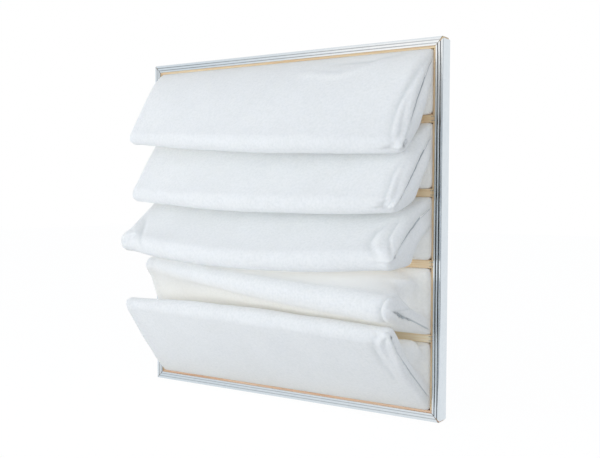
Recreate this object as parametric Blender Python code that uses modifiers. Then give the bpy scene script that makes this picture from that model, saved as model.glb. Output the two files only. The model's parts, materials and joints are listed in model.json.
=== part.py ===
"""Pocket air filter for a ventilation duct.

A pine frame with four crossbars is clad in four mitred steel channels, and five soft
felt pockets hang out of it on the air's leaving side, which is -Y. Metres, +Z up.
The origin is the middle of the header's bottom edge.
"""

import math

import bmesh
import bpy
from mathutils import Matrix, Vector

for old in list(bpy.data.objects):
    bpy.data.objects.remove(old)

# The header as it is ordered: its outer size and depth.
HEADER_WIDTH = 0.592
HEADER_HEIGHT = 0.592
HEADER_DEPTH = 0.025

# Steel channel: sheet, both flanges, and the bead rolled into the front flange.
STEEL = 0.0006
FLANGE = 0.013
BEAD_DEPTH = 0.0009
BEAD_GROOVE = 0.0024
BEAD_CREST = 0.0022
FLANGE_LIP = 0.0024
MITRE_GAP = 0.0005

# Pine frame inside the channel, seen from the header's outer edge inwards.
BATTEN_EDGE = 0.017
BAR_HEIGHT = 0.0125
# The bars were set by hand, a few millimetres above an even spacing, top bar first.
BAR_LIFT = (0.0017, 0.0025, 0.0064, 0.0049)
BAR_COUNT = len(BAR_LIFT)
WOOD_EDGE = 0.0005

# Felt of the pockets, and how far their hems turn out over the wood's back.
CLOTH = 0.003
HEM_ON_BATTEN = 0.012
HEM_SPLIT = 0.0006

# The gap between two pieces that touch, and how near two corners are one.
GAP = 0.0003
MERGE = 0.00001

# Staples: wire, crown and legs, and where they go.
WIRE = 0.0008
LEG = 0.009
BAR_STAPLE_CROWN = 0.0054
BAR_STAPLE_RISE = 0.0033
HEM_STAPLE_CROWN = 0.0080
HEM_STAPLES = 4
LEG_CLEARANCE = 0.0003
HOLE_SIDES = 8

# How finely a pocket is lofted: along a panel, round its far roll, round an end, and
# from end to end.
PANEL_STEPS = 6
ROLL_STEPS = 2
END_STEPS = 4
SPAN_STEPS = 6

# How far an end rounds in along the pocket, and how square its outline is: the power of
# an oval for the panel that rolls over softly and for the other one, which is flatter,
# what the mouth adds, and over how many steps that fades.
END_ROUND = 0.023
OVAL_SOFT = 2.9
OVAL_FLAT = 6.0
OVAL_MOUTH = 5.5
OVAL_FADE = 2.5

# How long a panel keeps the slope of its ends, as a share of the panel, and how early
# an end seam leaves the mouth for the roll: under 1 is early.
HOLD = 0.34
SEAM_LEAN = 0.85

FRONT = -HEADER_DEPTH / 2
BACK = HEADER_DEPTH / 2
WOOD_FRONT = FRONT + STEEL + GAP + BEAD_DEPTH
WOOD_BACK = BACK - STEEL - GAP - CLOTH - GAP
OPENING_HALF = HEADER_WIDTH / 2 - BATTEN_EDGE
OPENING_LOW = BATTEN_EDGE
OPENING_HIGH = HEADER_HEIGHT - BATTEN_EDGE
PITCH = (OPENING_HIGH - OPENING_LOW + BAR_HEIGHT) / (BAR_COUNT + 1)

# Each pocket, top one first. A rib is the pocket's section at its left end, middle and
# right end: how far its far roll's centre reaches in front of the header, how far that
# centre is above the middle of the mouth and the roll's radius, all three as shares of
# the pitch of the mouths, then the slopes at which the upper and the lower panel run
# into the roll, in degrees below level. "leave" holds the slopes at which both panels
# leave the wood, and "seam" where the end seam starts, as a share of the mouth's height.
POCKETS = (
    {
        "ribs": (
            (0.675, -0.614, 0.131, 57, 30),
            (0.982, -0.763, 0.158, 50, 25),
            (0.789, -0.833, 0.153, 57, 34),
        ),
        "leave": (28, 30),
        "seam": 0.82,
    },
    {
        "ribs": (
            (0.622, -0.510, 0.140, 52, 14),
            (0.982, -0.606, 0.158, 45, 12),
            (0.920, -0.615, 0.145, 50, 15),
        ),
        "leave": (26, 22),
        "seam": 0.78,
    },
    {
        "ribs": (
            (0.850, -0.276, 0.167, 24, -8),
            (1.157, -0.416, 0.167, 32, 4),
            (1.017, -0.337, 0.167, 35, 5),
        ),
        "leave": (10, 14),
        "seam": 0.80,
    },
    {
        "ribs": (
            (0.316, 0.284, 0.140, 6, -46),
            (0.982, 0.171, 0.171, 3, -26),
            (0.964, -0.005, 0.202, 10, -18),
        ),
        "leave": (12, -8),
        "seam": 0.08,
    },
    {
        "ribs": (
            (0.798, 0.716, 0.123, -36, -56),
            (1.069, 0.751, 0.145, -26, -50),
            (1.017, 0.664, 0.140, -30, -46),
        ),
        "leave": (-8, -40),
        "seam": 0.20,
    },
)


def collection(name):
    """A new collection in the scene."""
    made = bpy.data.collections.new(name)
    bpy.context.scene.collection.children.link(made)
    return made


def material(name, colour, roughness, metallic=0.0):
    """A Principled material of one colour."""
    made = bpy.data.materials.new(name)
    made.use_nodes = True
    shader = made.node_tree.nodes["Principled BSDF"]
    shader.inputs["Base Color"].default_value = (*colour, 1.0)
    shader.inputs["Roughness"].default_value = roughness
    shader.inputs["Metallic"].default_value = metallic
    return made


def piece(name, mesh, finish, group):
    """An object in its collection, with its material."""
    made = bpy.data.objects.new(name, mesh)
    if finish and not mesh.materials:
        mesh.materials.append(finish)
    group.objects.link(made)
    return made


def drawn_mesh(name, curve, merge):
    """The mesh of a curve's solid; the curve itself is then removed."""
    drawn = bpy.data.objects.new(name, curve)
    bpy.context.scene.collection.objects.link(drawn)
    bpy.context.view_layer.update()
    solid = drawn.evaluated_get(bpy.context.evaluated_depsgraph_get())
    mesh = bpy.data.meshes.new_from_object(solid)
    bpy.data.objects.remove(drawn)
    bpy.data.curves.remove(curve)
    mesh.name = name
    shape = bmesh.new()
    shape.from_mesh(mesh)
    bmesh.ops.remove_doubles(shape, verts=shape.verts, dist=merge)
    return mesh, shape


def finished(mesh, shape):
    """The mesh with the shape written back to it, its faces outward."""
    bmesh.ops.recalc_face_normals(shape, faces=shape.faces)
    shape.to_mesh(mesh)
    shape.free()
    return mesh


def crossbar_height(row):
    """The height of the middle of a crossbar; row 0 is the top one."""
    return OPENING_HIGH - (row + 1) * PITCH + BAR_HEIGHT / 2 + BAR_LIFT[row]


def mouth_span(row):
    """The lowest and highest point of a pocket's mouth, between the two woods."""
    low = OPENING_LOW if row == BAR_COUNT else crossbar_height(row) + BAR_HEIGHT / 2
    high = OPENING_HIGH if row == 0 else crossbar_height(row - 1) - BAR_HEIGHT / 2
    return low, high


# The channel's section, as a line down the middle of the sheet: (inwards, depth).
def flange_line():
    """The beaded front flange, from its inner lip out to the corner."""
    face = FRONT + STEEL / 2
    line = [(FLANGE, face), (FLANGE - FLANGE_LIP, face)]
    edge = FLANGE - FLANGE_LIP
    for flat in (BEAD_CREST, 0.0):
        line.append((edge - BEAD_GROOVE / 2, face + BEAD_DEPTH))
        edge -= BEAD_GROOVE
        line.append((edge, face))
        if flat:
            edge -= flat
            line.append((edge, face))
    return line


def channel_line():
    """The whole section: front flange, web and plain rear flange."""
    middle = STEEL / 2
    web = [(middle, FRONT + middle), (middle, BACK - middle)]
    return flange_line() + web + [(FLANGE, BACK - middle)]


def thickened(line, thickness):
    """A closed outline of a sheet whose middle is the line."""
    points = [Vector(p) for p in line]
    sides = []
    for i, point in enumerate(points):
        before = (point - points[i - 1]).normalized() if i else None
        after = (points[i + 1] - point).normalized() if i < len(points) - 1 else None
        ahead = ((before or after) + (after or before)).normalized()
        normal = Vector((-ahead.y, ahead.x))
        one = after or before
        stretch = 1 / abs(normal.dot(Vector((-one.y, one.x))))
        sides.append(normal * (thickness / 2 * stretch))
    left = [p + s for p, s in zip(points, sides)]
    right = [p - s for p, s in zip(points, sides)]
    return left + right[::-1]


def channel_mesh(length, name):
    """A length of channel along X, its web on z = 0, with both ends mitred."""
    outline = thickened(channel_line(), STEEL)
    curve = bpy.data.curves.new(name, "CURVE")
    curve.dimensions = "2D"
    curve.fill_mode = "BOTH"
    curve.extrude = length / 2
    spline = curve.splines.new("POLY")
    spline.points.add(len(outline) - 1)
    for point, (inwards, depth) in zip(spline.points, outline):
        point.co = (inwards, depth, 0.0, 1.0)
    spline.use_cyclic_u = True
    mesh, shape = drawn_mesh(name, curve, MERGE)
    # The outline's own X points inwards and its Z runs along the rail.
    turn = Matrix(((0, 0, 1, 0), (0, 1, 0, 0), (1, 0, 0, 0), (0, 0, 0, 1)))
    bmesh.ops.transform(shape, matrix=turn, verts=shape.verts)
    for side in (-1, 1):
        corner = Vector((side * (length / 2 - MITRE_GAP), 0, 0))
        away = Vector((side, 0, 1)).normalized()
        mitre = bmesh.ops.bisect_plane(
            shape,
            geom=shape.verts[:] + shape.edges[:] + shape.faces[:],
            plane_co=corner,
            plane_no=away,
            clear_outer=True,
        )
        rim = [e for e in mitre["geom_cut"] if isinstance(e, bmesh.types.BMEdge)]
        bmesh.ops.triangle_fill(shape, edges=rim, use_beauty=True)
    return finished(mesh, shape)


def add_rails(group):
    """Four lengths of galvanised channel, mitred where they meet."""
    zinc = material("galvanised_steel", (0.74, 0.78, 0.81), 0.22, 1.0)
    across = channel_mesh(HEADER_WIDTH, "rail_across")
    upright = channel_mesh(HEADER_HEIGHT, "rail_upright")
    middle = HEADER_HEIGHT / 2
    side = HEADER_WIDTH / 2
    for name, mesh, place, turn in (
        ("header_rail_bottom", across, (0, 0, 0), 0),
        ("header_rail_top", across, (0, 0, HEADER_HEIGHT), 180),
        ("header_rail_left", upright, (-side, 0, middle), 90),
        ("header_rail_right", upright, (side, 0, middle), -90),
    ):
        rail = piece(name, mesh, zinc, group)
        rail.location = place
        rail.rotation_euler = (0, math.radians(turn), 0)


def box_mesh(name, low, high):
    """A box between two corners."""
    shape = bmesh.new()
    bmesh.ops.create_cube(shape, size=1.0)
    size = [h - l for l, h in zip(low, high)]
    middle = [(h + l) / 2 for l, h in zip(low, high)]
    bmesh.ops.scale(shape, vec=size, verts=shape.verts)
    bmesh.ops.translate(shape, vec=middle, verts=shape.verts)
    return finished(bpy.data.meshes.new(name), shape)


def add_wood(group):
    """Four battens and four crossbars of planed pine, butted together."""
    pine = material("pine", (0.72, 0.53, 0.33), 0.62)
    clear = STEEL + GAP
    side = HEADER_WIDTH / 2
    woods = {
        "batten_top": ((-side + clear, OPENING_HIGH), (side - clear, HEADER_HEIGHT - clear)),
        "batten_bottom": ((-side + clear, clear), (side - clear, OPENING_LOW)),
        "batten_left": ((-side + clear, OPENING_LOW + GAP), (-OPENING_HALF, OPENING_HIGH - GAP)),
        "batten_right": ((OPENING_HALF, OPENING_LOW + GAP), (side - clear, OPENING_HIGH - GAP)),
    }
    for row in range(BAR_COUNT):
        height = crossbar_height(row)
        reach = OPENING_HALF - GAP
        low = (-reach, height - BAR_HEIGHT / 2)
        woods["crossbar_%d" % (row + 1)] = (low, (reach, height + BAR_HEIGHT / 2))
    made = {}
    for name, (low, high) in woods.items():
        mesh = box_mesh(name, (low[0], WOOD_FRONT, low[1]), (high[0], WOOD_BACK, high[1]))
        made[name] = piece(name, mesh, pine, group)
        edge = made[name].modifiers.new("eased edges", "BEVEL")
        edge.width = WOOD_EDGE
        edge.segments = 1
    return made


def bezier(a, b, c, d, t):
    """A point of a cubic Bezier curve."""
    u = 1 - t
    return a * u**3 + b * 3 * u * u * t + c * 3 * u * t * t + d * t**3


def downhill(degrees):
    """The direction that leaves the header at that slope below level, in (y, z)."""
    slope = math.radians(degrees)
    return Vector((-math.cos(slope), -math.sin(slope)))


def rib_at(pocket, across):
    """A pocket's rib at a place across it, from -1 at the left to 1 at the right."""
    values = []
    for left, middle, right in zip(*pocket["ribs"]):
        bend = (left + right) / 2 - middle
        values.append(middle + (right - left) / 2 * across + bend * across * across)
    return values


def roll_centre(row, across):
    """The centre of a pocket's far roll at a place across it, as (y, z)."""
    reach, rise = rib_at(POCKETS[row], across)[:2]
    return Vector((FRONT - reach * PITCH, sum(mouth_span(row)) / 2 + rise * PITCH))


def rib_line(row, across, low, high, inset):
    """The rib's upper and lower half as (y, z) points, both from the mouth to the tip."""
    roll, fall_over, fall_under = rib_at(POCKETS[row], across)[2:]
    leave_over, leave_under = POCKETS[row]["leave"]
    radius = roll * PITCH - inset
    centre = roll_centre(row, across)
    tip = downhill((fall_over + fall_under) / 2)
    halves = []
    for start, leave, fall, side in (
        (high, leave_over, fall_over, 1),
        (low, leave_under, fall_under, -1),
    ):
        mouth = Vector((FRONT, start))
        run = downhill(fall)
        out = Vector((run.y, -run.x)) * side
        end = centre + out * radius
        hold = (end - mouth).length * HOLD
        line = [
            bezier(mouth, mouth + downhill(leave) * hold, end - run * hold, end, i / PANEL_STEPS)
            for i in range(PANEL_STEPS + 1)
        ]
        turn = out.angle_signed(tip)
        for i in range(1, ROLL_STEPS + 1):
            line.append(centre + Matrix.Rotation(-turn * i / ROLL_STEPS, 2) @ out * radius)
        halves.append(line)
    return halves


def squareness(step, soft):
    """How square a panel's end is: nearly a box at the mouth, an oval far out."""
    mean = (OVAL_SOFT + OVAL_FLAT) / 2
    own = OVAL_SOFT if soft else OVAL_FLAT
    tip = max(0, step - PANEL_STEPS) / ROLL_STEPS
    return own + (mean - own) * tip + OVAL_MOUTH * max(0.0, 1 - step / OVAL_FADE) ** 2


def pocket_face(row, inset):
    """The pocket's outer face, or its inner one: strips of points from hem to hem."""
    bottom, top = mouth_span(row)
    low = bottom + GAP + inset
    high = top - GAP - inset
    middle = (low + high) / 2
    half = OPENING_HALF - GAP - inset
    end_round = END_ROUND - inset
    steps = PANEL_STEPS + ROLL_STEPS
    seam_start = Vector((FRONT, low + (high - low) * POCKETS[row]["seam"]))
    behind = WOOD_BACK + GAP + inset
    on_bar = (BAR_HEIGHT - HEM_SPLIT) / 2
    hem_high = top + (HEM_ON_BATTEN if row == 0 else on_bar)
    hem_low = bottom - (HEM_ON_BATTEN if row == BAR_COUNT else on_bar)
    hem_half = OPENING_HALF + HEM_ON_BATTEN

    def turned_out(point):
        """The hem's outer edge behind a point of the mouth."""
        edge, start = (hem_high, high) if point.z > middle else (hem_low, low)
        rise = (point.z - middle) / (start - middle)
        return Vector((point.x / half * hem_half, behind, middle + rise * (edge - middle)))

    def strip(across, angle):
        """One strip round the bag, drawn in towards the end seam by the angle."""
        pinch = roll_centre(row, across)
        halves = []
        seam_is_high = POCKETS[row]["seam"] > 0.5
        for half_above, line in zip((True, False), rib_line(row, across, low, high, inset)):
            drawn = []
            for i, point in enumerate(line):
                power = 2 / squareness(i, half_above == seam_is_high)
                thick = math.cos(angle) ** power if angle < math.pi / 2 else 0.0
                at = seam_start.lerp(pinch, (i / steps) ** SEAM_LEAN).lerp(point, thick)
                x = across * (half - end_round * (1 - math.sin(angle) ** power))
                drawn.append(Vector((x, at.x, at.y)))
            halves.append(drawn)
        over, under = halves
        neck_over = Vector((over[0].x, behind, over[0].z))
        neck_under = Vector((under[0].x, behind, under[0].z))
        bag = over + under[-2::-1]
        return [turned_out(over[0]), neck_over] + bag + [neck_under, turned_out(under[0])]

    ends = [math.pi / 2 * i / END_STEPS for i in range(END_STEPS, 0, -1)]
    span = [-1 + 2 * i / SPAN_STEPS for i in range(SPAN_STEPS + 1)]
    left = [strip(-1, angle) for angle in ends]
    right = [strip(1, angle) for angle in reversed(ends)]
    return left + [strip(across, 0.0) for across in span] + right


def pocket_mesh(row):
    """A felt pocket: hem turned out behind, neck through the wood, bag in front."""
    shape = bmesh.new()
    faces = []
    for inset in (0.0, CLOTH):
        strips = [[shape.verts.new(p) for p in strip] for strip in pocket_face(row, inset)]
        for one, two in zip(strips, strips[1:]):
            for i in range(len(one) - 1):
                shape.faces.new((one[i], two[i], two[i + 1], one[i + 1]))
        faces.append(strips)
    outer, inner = faces
    for end in (0, -1):
        for i in range(len(outer) - 1):
            shape.faces.new((outer[i][end], outer[i + 1][end], inner[i + 1][end], inner[i][end]))
    bmesh.ops.remove_doubles(shape, verts=shape.verts, dist=MERGE)
    mesh = finished(bpy.data.meshes.new("filter_pocket_%d" % (row + 1)), shape)
    mesh.shade_smooth()
    return mesh


def add_pockets(group):
    """Five pockets of needled felt, open behind."""
    felt = material("felt", (0.86, 0.88, 0.90), 0.95)
    made = []
    for row in range(BAR_COUNT + 1):
        made.append(piece("filter_pocket_%d" % (row + 1), pocket_mesh(row), felt, group))
    return made


def staple_mesh(name, crown):
    """A staple with its crown along X on z = 0 and its legs down -Z."""
    curve = bpy.data.curves.new(name, "CURVE")
    curve.dimensions = "3D"
    curve.bevel_depth = WIRE / 2
    curve.bevel_resolution = 1
    curve.use_fill_caps = True
    spline = curve.splines.new("POLY")
    spline.points.add(3)
    route = ((-crown / 2, -LEG), (-crown / 2, 0), (crown / 2, 0), (crown / 2, -LEG))
    for point, (x, z) in zip(spline.points, route):
        point.co = (x, 0, z, 1)
    return finished(*drawn_mesh(name, curve, MERGE))


def bore_legs(holes, staple, crown):
    """Clearance holes for a placed staple's legs, added to a set of cutters."""
    for side in (-1, 1):
        made = bmesh.ops.create_cone(
            holes,
            cap_ends=True,
            segments=HOLE_SIDES,
            radius1=WIRE / 2 + LEG_CLEARANCE,
            radius2=WIRE / 2 + LEG_CLEARANCE,
            depth=2 * (LEG + GAP),
        )
        bmesh.ops.translate(holes, vec=(side * crown / 2, 0, 0), verts=made["verts"])
        bmesh.ops.transform(holes, matrix=staple.matrix_world, verts=made["verts"])


def cut(target, holes, group):
    """Cut one set of holes out of a piece."""
    mesh = bpy.data.meshes.new(target.name + "_holes")
    holes.to_mesh(mesh)
    holes.free()
    cutter = piece(mesh.name, mesh, None, group)
    cutter.hide_render = True
    cutter.display_type = "WIRE"
    opening = target.modifiers.new("staple holes", "BOOLEAN")
    opening.operation = "DIFFERENCE"
    opening.solver = "EXACT"
    opening.object = cutter


def place(staple, spot, crown_along, legs_along):
    """Stand a staple at a spot, with its crown and its legs along two directions."""
    along = Vector(crown_along)
    out = -Vector(legs_along)
    across = out.cross(along)
    turn = Matrix((along, across, out)).transposed().to_4x4()
    staple.matrix_world = Matrix.Translation(spot) @ turn


def add_staples(group, cutters, woods, pockets):
    """Two staples over each crossbar's end joint, and four through the hems of each bar."""
    wire = material("staple_wire", (0.66, 0.66, 0.64), 0.35, 1.0)
    short = staple_mesh("bar_staple", BAR_STAPLE_CROWN)
    wide = staple_mesh("hem_staple", HEM_STAPLE_CROWN)
    front = WOOD_FRONT - GAP - WIRE / 2
    back = WOOD_BACK + GAP + CLOTH + GAP + WIRE / 2
    holes = {}

    def drive(name, mesh, crown, spot, crown_along, legs_along, targets):
        """A staple in its place, with room for its legs in what it holds."""
        staple = piece(name, mesh, wire, group)
        place(staple, spot, crown_along, legs_along)
        for target in targets:
            if target not in holes:
                holes[target] = bmesh.new()
            bore_legs(holes[target], staple, crown)

    for row in range(BAR_COUNT):
        bar = woods["crossbar_%d" % (row + 1)]
        height = crossbar_height(row)
        for side, word in ((-1, "left"), (1, "right")):
            for rise, level in ((1, "upper"), (-1, "lower")):
                name = "bar_staple_%d_%s_%s" % (row + 1, word, level)
                spot = (side * (OPENING_HALF - GAP / 2), front, height + rise * BAR_STAPLE_RISE)
                held = (bar, woods["batten_" + word])
                drive(name, short, BAR_STAPLE_CROWN, spot, (1, 0, 0), (0, 1, 0), held)
        for number in range(HEM_STAPLES):
            name = "hem_staple_%d_%d" % (row + 1, number + 1)
            across = OPENING_HALF * (2 * (number + 0.5) / HEM_STAPLES - 1)
            held = (bar, pockets[row], pockets[row + 1])
            spot = (across, back, height)
            drive(name, wide, HEM_STAPLE_CROWN, spot, (0, 0, 1), (0, -1, 0), held)
    for target, made in holes.items():
        cut(target, made, cutters)


parts = collection("pocket_air_filter")
cutters = collection("cutters")
add_rails(parts)
wood_pieces = add_wood(parts)
felt_pockets = add_pockets(parts)
add_staples(parts, cutters, wood_pieces, felt_pockets)
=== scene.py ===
"""Pocket air filter for a ventilation duct, seen from the side that the air leaves on."""

import json
import math

import bmesh
import bpy
import numpy as np
from mathutils import Matrix, Vector, noise
from mathutils.bvhtree import BVHTree

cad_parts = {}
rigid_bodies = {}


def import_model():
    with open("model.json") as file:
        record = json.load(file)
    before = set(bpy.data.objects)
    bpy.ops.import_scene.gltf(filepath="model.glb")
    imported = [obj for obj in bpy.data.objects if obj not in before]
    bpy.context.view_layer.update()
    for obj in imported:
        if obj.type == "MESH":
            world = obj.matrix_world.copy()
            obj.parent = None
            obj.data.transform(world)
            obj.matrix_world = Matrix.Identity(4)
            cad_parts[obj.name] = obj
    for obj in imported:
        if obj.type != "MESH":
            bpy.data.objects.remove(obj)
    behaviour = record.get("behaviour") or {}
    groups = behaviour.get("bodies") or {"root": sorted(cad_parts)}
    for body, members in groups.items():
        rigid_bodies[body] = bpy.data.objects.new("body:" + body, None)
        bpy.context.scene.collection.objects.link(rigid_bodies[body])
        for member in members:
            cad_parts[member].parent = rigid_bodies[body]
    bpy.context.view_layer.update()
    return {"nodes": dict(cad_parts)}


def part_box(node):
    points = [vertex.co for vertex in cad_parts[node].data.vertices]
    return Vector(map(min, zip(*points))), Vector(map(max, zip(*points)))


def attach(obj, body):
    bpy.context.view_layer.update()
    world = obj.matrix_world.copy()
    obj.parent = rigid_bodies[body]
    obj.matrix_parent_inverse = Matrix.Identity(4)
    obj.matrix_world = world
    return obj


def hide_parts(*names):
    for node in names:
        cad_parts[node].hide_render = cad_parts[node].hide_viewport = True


for leftover in list(bpy.data.objects):
    bpy.data.objects.remove(leftover)
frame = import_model()

# The header as a whole: a square of 592 mm, 25 mm deep, with its lower edge on z = 0.
# The air leaves towards -Y. Every part below is placed from these outer sizes.
WIDTH = 0.592
HEIGHT = 0.592
FRONT = -0.0125
BACK = 0.0125
OPENING_HALF = 0.279

# The wooden frame: four planed pine battens and four crossbars, glued and stapled. The
# grain runs along each piece, with orange latewood lines and a few darker streaks.
LATEWOOD = {"across": (1, 70, 70), "upright": (70, 70, 1)}


def colour(code):
    """A colour written as six hex digits, in the linear values that shaders take."""
    values = []
    for i in (0, 2, 4):
        level = int(code[i:i + 2], 16) / 255
        values.append(level / 12.92 if level <= 0.04045 else ((level + 0.055) / 1.055) ** 2.4)
    return (*values, 1.0)


def bare_material(name, roughness, metallic=0.0):
    """A new material, its shader and a function that adds a node and joins its inputs."""
    made = bpy.data.materials.new(name)
    made.use_nodes = True
    tree = made.node_tree
    shader = tree.nodes["Principled BSDF"]
    shader.inputs["Roughness"].default_value = roughness
    shader.inputs["Metallic"].default_value = metallic

    def add(kind, links=(), **settings):
        node = tree.nodes.new(kind)
        for key, value in settings.items():
            if hasattr(node, key):
                setattr(node, key, value)
            else:
                node.inputs[key].default_value = value
        for socket, source in dict(links).items():
            tree.links.new(source, node.inputs[socket])
        return node

    return made, shader, add


def ramp(add, source, stops):
    """A colour ramp over a value, from (place, colour) pairs."""
    node = add("ShaderNodeValToRGB", {"Fac": source})
    bands = node.color_ramp.elements
    while len(bands) < len(stops):
        bands.new(0.5)
    for band, (spot, tone) in zip(bands, stops):
        band.position = spot
        band.color = tone
    return node.outputs["Color"]


def pine(name, run, pale, middle, late):
    """Planed pine whose grain runs along the piece."""
    made, shader, add = bare_material(name, 0.55)
    place = add("ShaderNodeTexCoord").outputs["Object"]
    stretched = add("ShaderNodeMapping", {"Vector": place}, Scale=LATEWOOD[run]).outputs["Vector"]
    wander = add("ShaderNodeTexNoise", {"Vector": stretched}, Scale=2.2, Detail=3.0)
    rings = add(
        "ShaderNodeTexNoise",
        {"Vector": stretched},
        Scale=7.0,
        Detail=4.0,
        Roughness=0.65,
        Distortion=0.6,
    )
    grain = ramp(add, rings.outputs["Fac"], ((0.3, late), (0.46, middle), (0.6, pale), (0.72, middle)))
    broad = ramp(add, wander.outputs["Fac"], ((0.35, middle), (0.65, pale)))
    both = add("ShaderNodeMix", data_type="RGBA")
    tree = made.node_tree
    tree.links.new(grain, both.inputs[6])
    tree.links.new(broad, both.inputs[7])
    both.inputs[0].default_value = 0.4
    tree.links.new(both.outputs[2], shader.inputs["Base Color"])
    pores = add("ShaderNodeBump", {"Height": rings.outputs["Fac"]}, Strength=0.35, Distance=0.0006)
    tree.links.new(pores.outputs["Normal"], shader.inputs["Normal"])
    shader.inputs["Subsurface Weight"].default_value = 0.05
    shader.inputs["Subsurface Scale"].default_value = 0.001
    return made


level_pine = pine("pine_level", "across", colour("F3DFBE"), colour("E6C79C"), colour("C79464"))
upright_pine = pine("pine_upright", "upright", colour("F0DAB6"), colour("E0C094"), colour("C29165"))
# Crossbar 4 gets a lighter copy of the level pine, painted light on a bar that the pockets shade.
lightened_pine = pine("pine_painted_lighter", "across", colour("FFF6E2"), colour("F8E4C0"), colour("E2BC8C"))
reddish_pine = pine("pine_reddish", "across", colour("F0D3B9"), colour("E2BC9B"), colour("BE8763"))
for wood, finish in (
    ("batten_top", level_pine),
    ("batten_bottom", reddish_pine),
    ("batten_left", upright_pine),
    ("batten_right", upright_pine),
    ("crossbar_1", level_pine),
    ("crossbar_2", level_pine),
    ("crossbar_3", level_pine),
    ("crossbar_4", lightened_pine),
):
    mesh = frame["nodes"][wood].data
    mesh.materials.clear()
    mesh.materials.append(finish)

# The header rails: 0.6 mm galvanised sheet rolled into a channel, cut off at 45 degrees
# and pressed round the pine. A bead runs down the front flange, and the sheet is a
# little wavy from the roll former, which breaks up what it mirrors.
SHEET = 0.0006
FLANGE = 0.013
MITRE_GAP = 0.0005
BEND = 0.0011
BEAD_BEND = 0.0007
RAIL_STATIONS = 72
SKIN = 0.0003
BEAD = 0.0012
SPLIT_ANGLE = 50
GAPE_DEPTH = 0.008
SECTION = (
    (FLANGE, FRONT + SKIN),
    (0.0110, FRONT + SKIN),
    (0.0094, FRONT + BEAD),
    (0.0078, FRONT + SKIN),
    (0.0064, FRONT + SKIN),
    (0.0048, FRONT + BEAD),
    (0.0032, FRONT + SKIN),
    (SKIN, FRONT + SKIN),
    (SKIN, BACK - SKIN),
    (FLANGE, BACK - SKIN),
)


def rounded(line, radii, steps=5):
    """The line with its inner corners rounded."""
    points = [np.array(p, float) for p in line]
    done = [points[0]]
    for before, corner, after, radius in zip(points, points[1:], points[2:], radii):
        back = before - corner
        ahead = after - corner
        reach = min(radius, np.linalg.norm(back) * 0.48, np.linalg.norm(ahead) * 0.48)
        start = corner + back / np.linalg.norm(back) * reach
        end = corner + ahead / np.linalg.norm(ahead) * reach
        for i in range(steps + 1):
            t = i / steps
            done.append(start * (1 - t) ** 2 + corner * 2 * t * (1 - t) + end * t * t)
    done.append(points[-1])
    return np.array(done)


def wall_round(line, thickness):
    """The closed outline of a sheet whose middle is the line."""
    ahead = np.gradient(line, axis=0)
    ahead /= np.linalg.norm(ahead, axis=1)[:, None]
    normal = np.stack([-ahead[:, 1], ahead[:, 0]], axis=1)
    return np.concatenate([line + normal * thickness / 2, (line - normal * thickness / 2)[::-1]])


def zinc_material():
    """Hot dip zinc: soft spangle, painted sheen that brightens it in places, and painted shade and dark
    reflection in the beads, with a little dulling of the zinc there.
    """
    made, shader, add = bare_material("galvanised_zinc", 0.2, 1.0)
    tree = made.node_tree
    place = add("ShaderNodeTexCoord").outputs["Object"]
    spangle = add("ShaderNodeTexVoronoi", {"Vector": place}, Scale=160.0)
    cloud = add("ShaderNodeTexNoise", {"Vector": place}, Scale=24.0, Detail=5.0)
    # Painted sheen: a lighter zinc tone where the sheet should mirror bright light.
    painted_sheen = add("ShaderNodeAttribute", attribute_name="painted_sheen").outputs["Fac"]
    tone = ramp(add, painted_sheen, ((0.0, colour("CBD6DE")), (1.0, colour("F8F9F9"))))
    flake = add("ShaderNodeMix", {}, data_type="RGBA", blend_type="MULTIPLY")
    tree.links.new(tone, flake.inputs[6])
    tree.links.new(
        ramp(add, spangle.outputs["Color"], ((0.0, colour("F9FAFB")), (1.0, colour("FFFFFF")))),
        flake.inputs[7],
    )
    flake.inputs[0].default_value = 1.0
    # Painted shade and dark reflection in the beads, near black, with a little real dulling of the zinc.
    groove = add("ShaderNodeAttribute", attribute_name="groove").outputs["Fac"]
    groove_painted_shade = add("ShaderNodeMix", {}, data_type="RGBA")
    tree.links.new(groove, groove_painted_shade.inputs[0])
    tree.links.new(flake.outputs[2], groove_painted_shade.inputs[6])
    groove_painted_shade.inputs[7].default_value = colour("20262B")
    tree.links.new(groove_painted_shade.outputs[2], shader.inputs["Base Color"])
    gloss = add("ShaderNodeMapRange", {"Value": cloud.outputs["Fac"]})
    gloss.inputs["To Min"].default_value = 0.06
    gloss.inputs["To Max"].default_value = 0.13
    tree.links.new(gloss.outputs["Result"], shader.inputs["Roughness"])
    rolled = add("ShaderNodeTexNoise", {"Vector": place}, Scale=5.0, Detail=0.0)
    ripple = add("ShaderNodeBump", {"Height": rolled.outputs["Fac"]}, Strength=0.15, Distance=0.002)
    tree.links.new(ripple.outputs["Normal"], shader.inputs["Normal"])
    return made


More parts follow.
